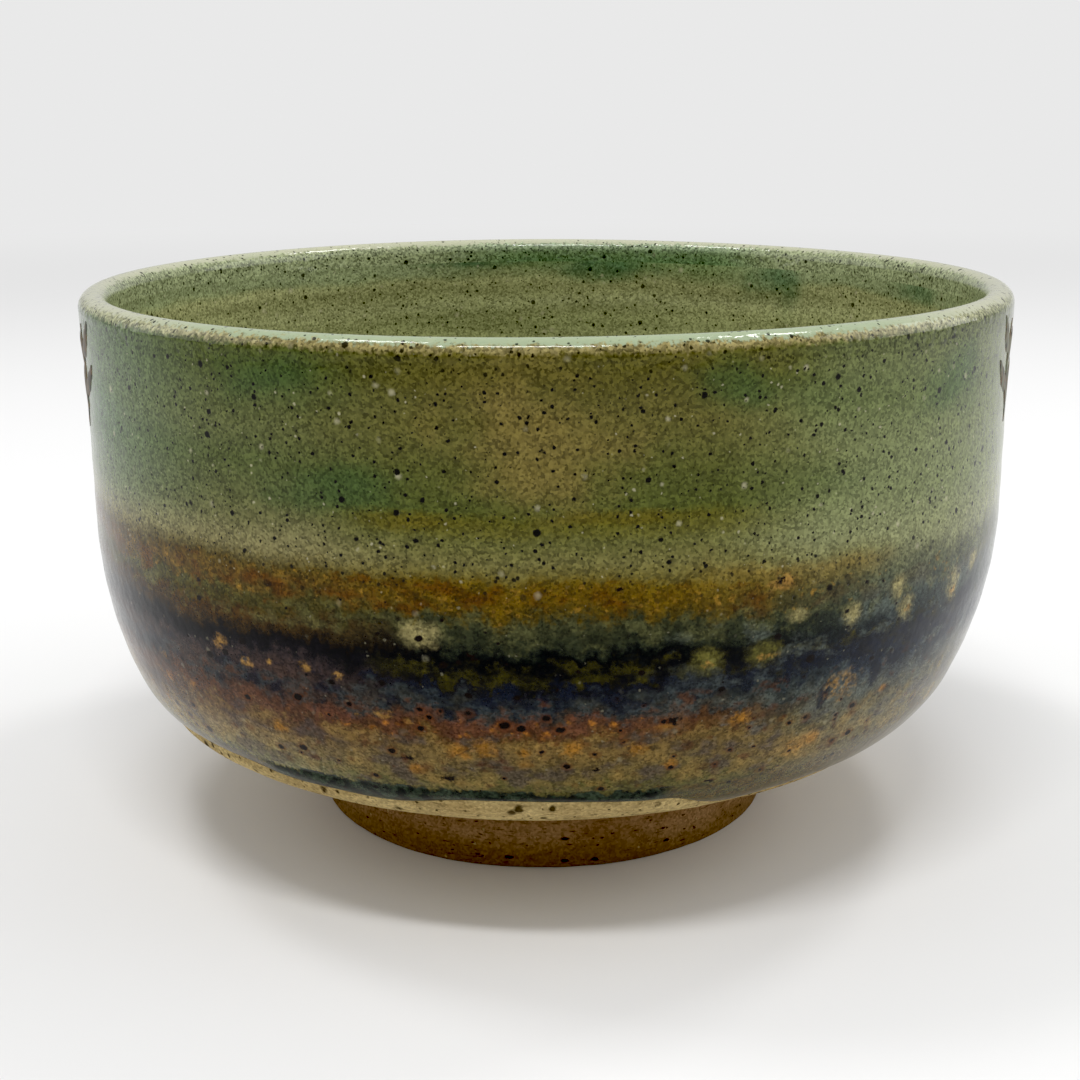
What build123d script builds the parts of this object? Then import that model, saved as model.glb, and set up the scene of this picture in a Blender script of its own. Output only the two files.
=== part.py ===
"""A wheel-thrown stoneware matcha bowl on a luted foot ring, with its coats of glaze.

Millimetres, +Z up. The origin is the centre of the foot's resting face, and +Z is the
wheel's axis. Every surface is drawn at several depths below the finished one, so that
clay and coats of glaze meet face to face.
"""

import math
import os

from build123d import *

# The finished, glazed bowl
RIM_RADIUS = 61.0
HEIGHT = 72.0
LIP_THICKNESS = 3.9

# Coats of glaze, as depths below the finished surface
GLAZE = 0.6
LAP_DEPTH = GLAZE / 2
SPRIG_DEPTH = 0.35
ROLL_PROUD = 0.35

# Outside of the bowl from the lip down. An angle is how far the wall has turned from vertical.
HIP_TOP_Z = 44.0
HIP_RADIUS, HIP_ANGLE = 54.0, 23.0
HEEL_RADIUS, HEEL_ANGLE = 16.0, 65.0

# Inside of the bowl from the lip down
WALL_DRAFT = 2.5
BOWL_TOP_Z = 46.0
BOWL_RADIUS, BOWL_ANGLE = 50.0, 25.0
BELLY_RADIUS, BELLY_ANGLE = 20.0, 74.0

# Foot ring
FOOT_HEIGHT = 6.2
FOOT_RADIUS = 31.4
FOOT_INNER_RADIUS = 25.8
FOOT_TAPER = 3.0
FOOT_EDGE = 0.9

# Heights where one coat hands over to the next
RIM_LINE_Z = 68.4
LAP_TOP_Z, LAP_BOTTOM_Z = 47.0, 43.0
ROLL_TOP_Z, ROLL_BOTTOM_Z = 21.2, 18.8

# Brushed sprigs, one on each side of the wall, turned by these angles from +X
LEFT_AZIMUTH, RIGHT_AZIMUTH = 200.0, 340.0
SPRIG_Z = 61.0
STEM_LENGTH, STEM_WIDTH = 13.5, 1.0
LEAF_LENGTH, LEAF_WIDTH = 8.5, 2.0
# Each leaf: its height up the stem from the middle, and its direction in degrees
LEAVES = [(-4.0, 38.0), (-2.0, 148.0), (1.0, 28.0), (2.5, 140.0)]

LIP_RADIUS = LIP_THICKNESS / 2
LIP_Z = HEIGHT - LIP_RADIUS


def heading(turned):
    """The way down along a wall that has turned this far from vertical towards the axis."""
    return Vector(-math.sin(math.radians(turned)), -math.cos(math.radians(turned)))


def outside_line(depth):
    """The outside from the lip to the foot: wall, hip, heel and the slope under the bowl."""
    wall = Line((RIM_RADIUS - depth, LIP_Z), (RIM_RADIUS - depth, HIP_TOP_Z))
    hip = JernArc(wall @ 1, heading(0), HIP_RADIUS - depth, -HIP_ANGLE)
    heel = JernArc(hip @ 1, hip % 1, HEEL_RADIUS - depth, HIP_ANGLE - HEEL_ANGLE)
    drop = (heel @ 1).Y - FOOT_HEIGHT
    under = PolarLine(heel @ 1, drop, direction=heel % 1, length_mode=LengthMode.VERTICAL)
    return under @ 1


def inside_line(depth):
    """The inside from the outer edge of the lip, over it, and down to the floor's middle."""
    lip = JernArc((RIM_RADIUS - depth, LIP_Z), (0, 1), LIP_RADIUS - depth, 180 - WALL_DRAFT)
    drop = (lip @ 1).Y - BOWL_TOP_Z
    wall = PolarLine(lip @ 1, drop, direction=lip % 1, length_mode=LengthMode.VERTICAL)
    bowl = JernArc(wall @ 1, wall % 1, BOWL_RADIUS + depth, WALL_DRAFT - BOWL_ANGLE)
    belly = JernArc(bowl @ 1, bowl % 1, BELLY_RADIUS + depth, BOWL_ANGLE - BELLY_ANGLE)
    floor_radius = (belly @ 1).X / math.cos(math.radians(BELLY_ANGLE))
    floor = JernArc(belly @ 1, belly % 1, floor_radius, BELLY_ANGLE - 90)
    return floor @ 1


def coat(line, top_depth, bottom_depth):
    """The section of a coat that follows a line, between two depths."""
    with BuildSketch() as section:
        with BuildLine():
            top_end = line(top_depth)
            bottom_end = line(bottom_depth)
            Line((RIM_RADIUS - top_depth, LIP_Z), (RIM_RADIUS - bottom_depth, LIP_Z))
            Line(top_end, bottom_end)
        make_face()
    return section.sketch


def keep_between(low_z, high_z):
    """Cut the sketch being drawn down to a band of heights."""
    with Locations((0, low_z)):
        Rectangle(
            RIM_RADIUS, high_z - low_z, align=(Align.MIN, Align.MIN), mode=Mode.INTERSECT
        )


def turned_coat(line, top_depth, bottom_depth, low_z, high_z):
    """A coat turned round the axis, on the bowl's side of one line and in a band of heights."""
    with BuildPart() as turned:
        with BuildSketch(Plane.XZ):
            add(coat(line, top_depth, bottom_depth))
            keep_between(low_z, high_z)
        revolve(axis=Axis.Z)
    return turned.part


def sprig_outline(azimuth):
    """The bare brush strokes of a sprig, on the plane that faces out at an azimuth."""
    middle = Plane((0, 0, SPRIG_Z), z_dir=Vector(1, 0, 0).rotate(Axis.Z, azimuth))
    upright = Plane(middle.origin, x_dir=Vector(0, 0, 1).cross(middle.z_dir), z_dir=middle.z_dir)
    with BuildSketch(upright) as strokes:
        SlotOverall(STEM_LENGTH, STEM_WIDTH, rotation=90)
        for height, direction in LEAVES:
            with Locations(Location((0, height, 0), direction)):
                with Locations((LEAF_LENGTH / 2, 0)):
                    Ellipse(LEAF_LENGTH / 2, LEAF_WIDTH / 2)
    return strokes.sketch


def make_sprig(azimuth, label):
    """A sprig as an inlay that fills its own pocket in the celadon."""
    band = turned_coat(outside_line, 0, SPRIG_DEPTH, LAP_TOP_Z, RIM_LINE_Z)
    with BuildPart() as sprig:
        extrude(sprig_outline(azimuth), RIM_RADIUS)
        add(band, mode=Mode.INTERSECT)
    sprig.part.label = label
    return sprig.part


# Thrown clay

with BuildPart() as bowl_body:
    with BuildSketch(Plane.XZ):
        with BuildLine():
            foot_end = outside_line(GLAZE)
            middle = inside_line(GLAZE)
            Polyline(foot_end, (0, FOOT_HEIGHT), middle)
        make_face()
    revolve(axis=Axis.Z)
bowl_body.part.label = "bowl_body"

with BuildPart() as foot_ring:
    with BuildSketch(Plane.XZ):
        with Locations((FOOT_INNER_RADIUS, 0)):
            Trapezoid(
                FOOT_RADIUS - FOOT_INNER_RADIUS,
                FOOT_HEIGHT + GLAZE,
                90 - FOOT_TAPER,
                align=(Align.MIN, Align.MIN),
            )
    revolve(axis=Axis.Z)
    add(bowl_body.part, mode=Mode.SUBTRACT)
    fillet(foot_ring.edges().group_by(Axis.Z)[0], FOOT_EDGE)
foot_ring.part.label = "foot_ring"

# Coats inside and over the lip

with BuildPart() as inner_glaze:
    add(turned_coat(inside_line, 0, GLAZE, 0, RIM_LINE_Z))
inner_glaze.part.label = "inner_glaze"

with BuildPart() as rim_glaze:
    add(turned_coat(inside_line, 0, GLAZE, RIM_LINE_Z, HEIGHT))
    add(turned_coat(outside_line, 0, GLAZE, RIM_LINE_Z, HEIGHT))
rim_glaze.part.label = "rim_glaze"

# Sprigs, and the coats of the outside wall

left_sprig = make_sprig(LEFT_AZIMUTH, "left_sprig")
right_sprig = make_sprig(RIGHT_AZIMUTH, "right_sprig")

with BuildPart() as outer_glaze:
    add(turned_coat(outside_line, 0, GLAZE, LAP_TOP_Z, RIM_LINE_Z))
    add(turned_coat(outside_line, LAP_DEPTH, GLAZE, LAP_BOTTOM_Z, LAP_TOP_Z))
    add([left_sprig, right_sprig], mode=Mode.SUBTRACT)
outer_glaze.part.label = "outer_glaze"

with BuildPart() as lower_glaze:
    add(turned_coat(outside_line, 0, LAP_DEPTH, LAP_BOTTOM_Z, LAP_TOP_Z))
    add(turned_coat(outside_line, 0, GLAZE, ROLL_TOP_Z, LAP_BOTTOM_Z))
lower_glaze.part.label = "lower_glaze"

with BuildPart() as glaze_roll:
    add(turned_coat(outside_line, -ROLL_PROUD, GLAZE, ROLL_BOTTOM_Z, ROLL_TOP_Z))
    fillet(glaze_roll.edges().sort_by(SortBy.RADIUS)[-1], ROLL_PROUD)
glaze_roll.part.label = "glaze_roll"

os.makedirs("parts", exist_ok=True)
export_step(bowl_body.part, "parts/bowl_body.step")
export_step(foot_ring.part, "parts/foot_ring.step")
export_step(inner_glaze.part, "parts/inner_glaze.step")
export_step(rim_glaze.part, "parts/rim_glaze.step")
export_step(outer_glaze.part, "parts/outer_glaze.step")
export_step(lower_glaze.part, "parts/lower_glaze.step")
export_step(glaze_roll.part, "parts/glaze_roll.step")
export_step(left_sprig, "parts/left_sprig.step")
export_step(right_sprig, "parts/right_sprig.step")
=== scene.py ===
"""The looks of a wood-ash and iron glazed matcha bowl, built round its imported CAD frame.

Lengths are millimetres until a mesh, a lamp or the camera is made, and those are in metres.
Heights are above the resting face. "Front" is -Y, and a bearing is the angle round the bowl
from the front, in degrees, positive towards +X.
"""

import math

import bpy
import numpy as np
from mathutils import Euler, Matrix, Vector


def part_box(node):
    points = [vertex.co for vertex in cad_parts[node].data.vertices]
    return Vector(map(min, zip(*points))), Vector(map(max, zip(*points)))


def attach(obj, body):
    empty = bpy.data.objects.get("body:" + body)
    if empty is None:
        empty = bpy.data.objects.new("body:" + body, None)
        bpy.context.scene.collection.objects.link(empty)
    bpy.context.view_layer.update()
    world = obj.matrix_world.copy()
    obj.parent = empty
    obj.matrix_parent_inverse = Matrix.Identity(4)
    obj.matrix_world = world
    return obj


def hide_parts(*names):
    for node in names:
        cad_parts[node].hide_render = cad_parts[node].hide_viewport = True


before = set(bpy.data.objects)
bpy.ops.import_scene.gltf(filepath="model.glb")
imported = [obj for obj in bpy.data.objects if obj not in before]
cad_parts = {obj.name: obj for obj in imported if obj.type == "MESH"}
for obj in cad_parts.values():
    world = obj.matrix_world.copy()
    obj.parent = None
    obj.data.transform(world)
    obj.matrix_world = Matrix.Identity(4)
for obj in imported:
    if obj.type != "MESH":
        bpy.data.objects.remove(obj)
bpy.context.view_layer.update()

MM = 0.001
RIM_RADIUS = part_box("rim_glaze")[1].x / MM
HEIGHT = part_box("rim_glaze")[1].z / MM
RIM_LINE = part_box("rim_glaze")[0].z / MM
LAP_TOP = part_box("lower_glaze")[1].z / MM
ROLL_TOP, ROLL_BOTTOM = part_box("glaze_roll")[1].z / MM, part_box("glaze_roll")[0].z / MM
FOOT_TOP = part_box("bowl_body")[0].z / MM
GLAZE = 0.6

# The form's driving dimensions, as on the frame, apart from the foot's sharper edge
LIP_RADIUS = 1.95
LIP_Z = HEIGHT - LIP_RADIUS
HIP_TOP_Z, HIP_RADIUS, HIP_ANGLE = 44.0, 54.0, 23.0
HEEL_RADIUS, HEEL_ANGLE = 16.0, 65.0
WALL_DRAFT, BOWL_TOP_Z = 2.5, 46.0
BOWL_RADIUS, BOWL_ANGLE = 50.0, 25.0
BELLY_RADIUS, BELLY_ANGLE = 20.0, 74.0
FOOT_RADIUS, FOOT_WIDTH, FOOT_TAPER, FOOT_EDGE = 31.4, 5.6, 3.0, 0.4

# How the thrown form strays from the turned one
LEAN = 0.6            # how far the lower body and foot sit towards -X
SKIN_IN = 0.06        # the finished skin lies this far inside the frame's, so that relief fits
RIM_TILT = 0.12       # half of how far the rim is out of level

# How finely the turned pieces are drawn, which keeps each under 200,000 triangles
SEGMENTS = 600
ROW_STEP = 0.5        # between rings on the outer wall
PAST_LIP = 3.0        # along the inside run, a place safely over the lip's crest
AXIS_GAP = 0.3        # how far short of the axis the inside runs stop
BARE_START = 46.0     # along the outside run, where the clay is drawn finely, as it may be bare
SHARP_ANGLE = 40      # degrees between faces that meet in a sharp edge


# ---- outlines

class Run:
    """A line in (radius, height) of straight and round stretches, read by distance along it."""

    def __init__(self, start, turned, stretches, side=1.0):
        """Stretches are (length, signed radius or 0); turned is degrees from straight down."""
        self.side = side
        self.stretches = []
        r, z = start
        angle, along = math.radians(turned), 0.0
        for length, radius in stretches:
            self.stretches.append((along, r, z, angle, radius))
            (r,), (z,), (angle,) = self._follow(np.array([length]), r, z, angle, radius)
            along += length
        self.length = along

    @staticmethod
    def _follow(s, r, z, angle, radius):
        if radius == 0:
            return r - s * math.sin(angle), z - s * math.cos(angle), angle + 0 * s
        end = angle + s / radius
        return (
            r + radius * (np.cos(end) - math.cos(angle)),
            z - radius * (np.sin(end) - math.sin(angle)),
            end,
        )

    def at(self, s, depth=0.0):
        """Radius and height at distance s along the run, this far below the surface."""
        s = np.asarray(s, float)
        r, z, angle = np.zeros_like(s), np.zeros_like(s), np.zeros_like(s)
        for start, *stretch in self.stretches:
            here = s >= start - 1e-9
            found = self._follow(s - start, *stretch)
            for out, values in zip((r, z, angle), found):
                out[here] = values[here]
        return r - depth * self.side * np.cos(angle), z + depth * self.side * np.sin(angle)


def arc(radius, degrees):
    """A round stretch: its length and signed radius. Positive degrees turn towards the axis."""
    return radius * math.radians(abs(degrees)), math.copysign(radius, degrees)


def make_outside():
    stretches = [
        (LIP_Z - HIP_TOP_Z, 0),
        arc(HIP_RADIUS, HIP_ANGLE),
        arc(HEEL_RADIUS, HEEL_ANGLE - HIP_ANGLE),
    ]
    run = Run((RIM_RADIUS, LIP_Z), 0, [*stretches, (0, 0)])
    drop = run.at(run.length)[1] - FOOT_TOP
    slope = drop / math.cos(math.radians(HEEL_ANGLE))
    return Run((RIM_RADIUS, LIP_Z), 0, [*stretches, (slope, 0)])


def make_inside():
    stretches = [arc(LIP_RADIUS, WALL_DRAFT - 180), (0, 0)]
    lip = Run((RIM_RADIUS, LIP_Z), 180, stretches)
    drop = lip.at(lip.length)[1] - BOWL_TOP_Z
    stretches = [
        stretches[0],
        (drop / math.cos(math.radians(WALL_DRAFT)), 0),
        arc(BOWL_RADIUS, BOWL_ANGLE - WALL_DRAFT),
        arc(BELLY_RADIUS, BELLY_ANGLE - BOWL_ANGLE),
    ]
    belly = Run((RIM_RADIUS, LIP_Z), 180, [*stretches, (0, 0)])
    floor_radius = belly.at(belly.length)[0] / math.cos(math.radians(BELLY_ANGLE))
    stretches.append(arc(float(floor_radius), 90 - BELLY_ANGLE))
    return Run((RIM_RADIUS, LIP_Z), 180, stretches, side=-1.0)


def make_foot():
    """The foot's skin, from the bowl's underside down, across the resting face and up inside."""
    lean = math.radians(FOOT_TAPER)
    side = (FOOT_TOP + GLAZE - FOOT_EDGE) / math.cos(lean)
    top = (FOOT_RADIUS - (FOOT_TOP + GLAZE) * math.tan(lean), FOOT_TOP + GLAZE)
    flat = FOOT_WIDTH - 2 * FOOT_EDGE
    corner = arc(FOOT_EDGE, 90 + FOOT_TAPER)
    return Run(top, -FOOT_TAPER, [(side, 0), corner, (flat, 0), corner, (side, 0)])


OUTSIDE, INSIDE, FOOT = make_outside(), make_inside(), make_foot()


def distance_at(run, height, low=0.0):
    """How far along a run it passes a height, looking from a distance on."""
    s = np.linspace(low, run.length, 4000)
    return float(s[np.argmin(np.abs(run.at(s)[1] - height))])


# ---- relief

rng = np.random.default_rng(7)
RIPPLES = 14          # waves summed in one random surface


def ripple(angle, along, turns, waves):
    """A smooth random surface round the bowl, about -1 to 1: so many turns and waves at most."""
    total = np.zeros(np.broadcast(angle, along).shape)
    for _ in range(RIPPLES):
        turn = rng.integers(1, turns + 1)
        wave = rng.uniform(-waves, waves)
        total += np.sin(turn * angle + wave * along + rng.uniform(0, 2 * math.pi))
    return total / math.sqrt(RIPPLES)


def smooth_step(x, low, high):
    """From 0 at low to 1 at high."""
    t = np.clip((x - low) / (high - low), 0, 1)
    return t * t * (3 - 2 * t)


def bump(x, centre, width):
    """A round hump: 1 at its centre, about a third at this distance from it."""
    return np.exp(-(((x - centre) / width) ** 2))


def bearing(angle):
    """Bearing in degrees of an angle from +X, -180 to 180."""
    return (np.degrees(angle) + 90 + 180) % 360 - 180


def settle(x, y, z):
    """Shift of the whole form: the lower body leans over, and the rim is not quite level."""
    low = smooth_step(-z, -46, -16)
    sag = RIM_TILT * (1 + np.sin(2 * np.arctan2(y, x) + 0.6)) * smooth_step(z, 60, HEIGHT)
    return x - LEAN * low, y, z - sag


# ---- meshes

def add_mesh(name, points, faces):
    mesh = bpy.data.meshes.new(name)
    mesh.from_pydata([tuple(p) for p in np.asarray(points) * MM], [], [tuple(f) for f in faces])
    mesh.validate()
    mesh.polygons.foreach_set("use_smooth", [True] * len(mesh.polygons))
    mesh.set_sharp_from_angle(angle=math.radians(SHARP_ANGLE))
    mesh.update()
    piece = bpy.data.objects.new(name, mesh)
    bpy.context.scene.collection.objects.link(piece)
    return piece


def lathe(name, rings, capped=False):
    """A turned mesh. rings(angle) gives radius and height arrays, one row to a ring.

    The last ring joins the first, or if capped, each of them ends in a point on the axis."""
    angle = np.linspace(0, 2 * math.pi, SEGMENTS, endpoint=False)[None, :]
    radius, height = rings(angle)
    count = len(radius)
    x, y, z = settle(radius * np.cos(angle), radius * np.sin(angle), height)
    points = np.stack([x, y, z], -1).reshape(-1, 3)
    ring = np.arange(count - 1 if capped else count)
    i = ring[:, None] * SEGMENTS
    j = ((ring + 1) % count)[:, None] * SEGMENTS
    k = np.arange(SEGMENTS)
    n = (k + 1) % SEGMENTS
    faces = np.stack([i + k, i + n, j + n, j + k], -1).reshape(-1, 4).tolist()
    if capped:
        start, end = len(points), len(points) + 1
        centre_first = [np.mean(x[0]), np.mean(y[0]), np.mean(z[0])]
        centre_last = [np.mean(x[-1]), np.mean(y[-1]), np.mean(z[-1])]
        points = np.vstack([points, centre_first, centre_last])
        last = (count - 1) * SEGMENTS
        faces += [(start, b, a) for a, b in zip(k.tolist(), n.tolist())]
        faces += [(end, last + a, last + b) for a, b in zip(k.tolist(), n.tolist())]
    return add_mesh(name, points, faces)


def coat(name, run, start, end, relief, rows, hidden_rows):
    """A coat of glaze: its skin from start to end along a run, and its hidden face back again."""
    skin = np.linspace(start, end, rows)[:, None]
    under = np.linspace(end, start, hidden_rows)[:, None]

    def rings(angle):
        r, z = run.at(skin + 0 * angle, SKIN_IN - relief(angle, skin))
        r_under, z_under = run.at(under + 0 * angle, GLAZE)
        return np.vstack([r, r_under]), np.vstack([z, z_under])

    return lathe(name, rings)


def wall_relief(angle, along):
    """Throwing rings and a slow wander, as height of the skin above its mean: never above 0.05."""
    rings = 0.02 * np.sin(2 * math.pi * along / 5.2 + angle)
    wander = 0.12 * np.sin(3 * angle + along / 17 + 0.8) + 0.10 * np.sin(7 * angle - along / 11 + 2.0)
    return rings + (wander - 0.2) * smooth_step(along, 0, 8)


def inside_relief(angle, along):
    """The finger's throwing rings, below the lip."""
    return 0.06 * np.sin(2 * math.pi * along / 6.4 - angle) * smooth_step(along, 8, 16)


def lip_relief(angle, along):
    """Along runs over the lip, from outside to inside; the glaze is a little lumpy there."""
    lumps = np.sin(151 * angle + 2.3 * np.sin(9 * angle)) * np.sin(23 * angle + 1.0)
    return 0.02 * lumps * bump(along, 1.4, 1.6) + 0.03 * np.sin(4 * angle + 1) * bump(along, 3, 2)


def outside_coat(name, top, bottom):
    """A coat on the outer wall, between two heights."""
    start, end = distance_at(OUTSIDE, top), distance_at(OUTSIDE, bottom)
    rows = int((end - start) / ROW_STEP)
    return coat(name, OUTSIDE, start, end, wall_relief, rows, hidden_rows=6)


def liner():
    """The coat inside, from the rim line down to the middle of the floor."""
    start, end = distance_at(INSIDE, RIM_LINE, PAST_LIP), INSIDE.length - AXIS_GAP
    return coat("liner_coat", INSIDE, start, end, inside_relief, rows=140, hidden_rows=14)


def lip():
    """The coat over the lip, from the outside rim line, over the top, to the inside one."""
    side = np.linspace(distance_at(OUTSIDE, RIM_LINE), 0, 5, endpoint=False)[:, None]
    over = np.linspace(0, distance_at(INSIDE, RIM_LINE, PAST_LIP), 34)[:, None]

    def face(angle, side_depth, over_depth):
        r_side, z_side = OUTSIDE.at(side + 0 * angle, side_depth)
        r_over, z_over = INSIDE.at(over + 0 * angle, over_depth)
        return np.vstack([r_side, r_over]), np.vstack([z_side, z_over])

    def rings(angle):
        r, z = face(angle, SKIN_IN - wall_relief(angle, side), SKIN_IN - lip_relief(angle, over))
        r_under, z_under = face(angle, GLAZE, GLAZE)
        return np.vstack([r, r_under[::-4]]), np.vstack([z, z_under[::-4]])

    return lathe("lip_coat", rings)


def roll_thickness(angle):
    """How swollen the glaze's lower edge is, round the bowl."""
    at = bearing(angle)
    front = smooth_step(at, -39, -34) * (1 - smooth_step(at, 12, 17))
    back = 0.7 * smooth_step(np.abs(at), 118, 128) * (1 - smooth_step(np.abs(at), 160, 168))
    lumps = 0.75 + 0.25 * np.sin(26 * angle + 1.5 * np.sin(7 * angle))
    return np.maximum(front, back) * lumps


# Runs of glaze past its mean lower edge, each (how far, bearing, wide)
FRONT_RUNS = [(1.6, 23, 7), (1.3, -20, 6), (0.8, -31, 5), (-0.3, 5, 9)]
BACK_RUNS = [(1.4, 126, 8), (1.8, 148, 7), (1.5, -118, 9), (0.9, -160, 6)]
MEAN_END = distance_at(OUTSIDE, ROLL_BOTTOM) - 0.6   # the mean lower edge, along the run


def glaze_end(angle):
    """How far along the outside run the glaze ran, round the bowl: lowest at the right."""
    at = bearing(angle)
    front, back = (
        sum(far * bump(at, *place) for far, *place in runs) for runs in (FRONT_RUNS, BACK_RUNS)
    )
    low_side = 3.6 * smooth_step(at, 15, 27) * (1 - smooth_step(at, 92, 112))
    wander = 0.28 * np.sin(9 * angle + 0.4) + 0.17 * np.sin(17 * angle + 2) + 0.1 * np.sin(31 * angle)
    return MEAN_END + (front + low_side + 0.5 + back + wander)


def lower_edge():
    """The glaze's rolled lower edge: it swells, then rounds down onto the clay."""
    start = distance_at(OUTSIDE, ROLL_TOP)
    share = np.linspace(0, 1, 22)[:, None]
    profile = np.sin(math.pi * np.clip(share * 1.15 - 0.15, 0, 1)) ** 0.8

    def rings(angle):
        s = start + share * (glaze_end(angle) - start)
        skin = (GLAZE - SKIN_IN + wall_relief(angle, s)) * np.sqrt(1 - share ** 6)
        swell = 0.42 * roll_thickness(angle) * profile
        r, z = OUTSIDE.at(s, GLAZE - skin - swell)
        r_under, z_under = OUTSIDE.at(s[::-5], GLAZE + 0.05)
        return np.vstack([r, r_under]), np.vstack([z, z_under])

    return lathe("glaze_edge", rings)


def clay_body():
    """The clay: hidden under the glaze, bare from the glaze's edge to the foot and inside it."""
    hidden = np.linspace(0, BARE_START, 14, endpoint=False)
    bare = np.linspace(BARE_START, OUTSIDE.length, 60)
    outside = np.concatenate([hidden, bare])[:, None]
    inside = np.linspace(0, INSIDE.length - AXIS_GAP, 40)[:, None]
    recess = np.linspace(1, 0.02, 50)[:, None]
    dome = 0.5 * (1 - recess ** 2)
    button = 0.9 * bump(recess, 0, 0.12)

    def rings(angle):
        ridges = 0.05 * np.sin(2 * math.pi * outside / 1.7 + angle)
        ridges = ridges * smooth_step(outside, BARE_START, BARE_START + 4)
        end = glaze_end(angle)
        swell = (0.45 - 0.2 * np.cos(angle)) * smooth_step(outside, end + 0.1, end + 2.2)
        r, z = OUTSIDE.at(outside + 0 * angle, GLAZE - swell - ridges)
        spiral = 0.12 * np.sin(2 * math.pi * recess * 9 + angle)
        r_recess = r[-1:] * recess
        z_recess = z[-1:] + (spiral + dome - button) * smooth_step(1 - recess, 0, 0.1)
        r_in, z_in = INSIDE.at(inside + 0 * angle, GLAZE)
        return np.vstack([r_in[::-1], r, r_recess]), np.vstack([z_in[::-1], z, z_recess])

    return lathe("clay_body", rings, capped=True)


def foot():
    """The foot ring's bare clay, with drag marks from trimming and softened, worn edges."""
    s = np.linspace(0, FOOT.length, 84)[:, None]

    def rings(angle):
        drag = 0.03 * ripple(angle, s, 60, 5.0) + 0.04 * np.sin(2 * math.pi * s / 1.3 + angle)
        on_face = bump(s, FOOT.length / 2, 2.0)
        wear = 0.10 * ripple(angle, s, 14, 0.4)
        r, z = FOOT.at(s + 0 * angle, (0.03 - (drag + wear) * 0.6) * (1 - on_face))
        return r, np.maximum(z, 0)

    return lathe("foot", rings)


# ---- brushed sprigs

SPRIG_BEARING, SPRIG_Z = 70.0, 62.2
STEM_LENGTH, STEM_WIDTH = 13.0, 1.6
LEAF_LENGTH, LEAF_WIDTH = 7.5, 2.6
# Each leaf: its height up the stem from the middle, and its direction in degrees
LEAVES = [(-4.0, 38.0), (-2.0, 148.0), (1.0, 28.0), (2.5, 140.0)]
SLIP_PROUD, SLIP_DEPTH = 0.13, 0.25   # how far a stroke stands out of the wall and sinks into it


def stroke(start, direction, length, width, bend):
    """One brush stroke as a grid of (across the wall, height, proud) points."""
    along = np.linspace(0, 1, 40)[:, None]
    across = np.linspace(-1, 1, 11)[None, :]
    a = math.radians(direction)
    side = bend * np.sin(math.pi * along)
    half = width / 2 * np.sqrt(np.sin(math.pi * np.clip(along * 0.96 + 0.02, 0, 1)))
    half = half * (1.15 - 0.5 * along)
    half = half * (1 + 0.12 * np.sin(19 * along + direction))
    u = start[0] + along * length * math.cos(a) - (side + across * half) * math.sin(a)
    v = start[1] + along * length * math.sin(a) + (side + across * half) * math.cos(a)
    proud = SLIP_PROUD * (1 - across ** 2) ** 0.5
    return u, v, proud * np.sin(math.pi * np.clip(along, 0.02, 0.98)) ** 0.3


def sprig(name, at, mirrored):
    """Strokes of iron slip laid on the wall, each a closed, low dome."""
    strokes = [stroke((0, -STEM_LENGTH / 2), 90, STEM_LENGTH, STEM_WIDTH, 0.5)]
    strokes += [stroke((0, h), d, LEAF_LENGTH, LEAF_WIDTH, 0.6) for h, d in LEAVES]
    points, faces = [], []
    for u, v, proud in strokes:
        rows, columns = u.shape
        angle = math.radians(at - 90) + (-u if mirrored else u) / RIM_RADIUS
        z = SPRIG_Z + v
        for lift in (proud, 0 * proud - SLIP_DEPTH):
            radius = RIM_RADIUS - SKIN_IN + wall_relief(angle, LIP_Z - z) + lift
            place = settle(radius * np.cos(angle), radius * np.sin(angle), z)
            points.append(np.stack(place, -1).reshape(-1, 3))
        top = sum(len(p) for p in points[:-2])
        under = top + rows * columns
        grid = np.arange(rows * columns).reshape(rows, columns)
        quads = np.stack([grid[:-1, :-1], grid[:-1, 1:], grid[1:, 1:], grid[1:, :-1]], -1)
        quads = quads.reshape(-1, 4)
        rim = np.concatenate([grid[0, :-1], grid[:-1, -1], grid[-1, :0:-1], grid[:0:-1, 0]])
        onward = np.roll(rim, -1)
        walls = np.stack([top + rim, under + rim, under + onward, top + onward], -1)
        new = (top + quads).tolist() + (under + quads[:, ::-1]).tolist() + walls.tolist()
        faces += [f[::-1] for f in new] if mirrored else new
    return add_mesh(name, np.vstack(points), faces)


# ---- shader graphs

def paint(red, green, blue):
    """A linear colour from the 0 to 255 values a painter would mix."""
    def one(value):
        value /= 255
        return value / 12.92 if value <= 0.04045 else ((value + 0.055) / 1.055) ** 2.4
    return (one(red), one(green), one(blue), 1)


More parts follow.
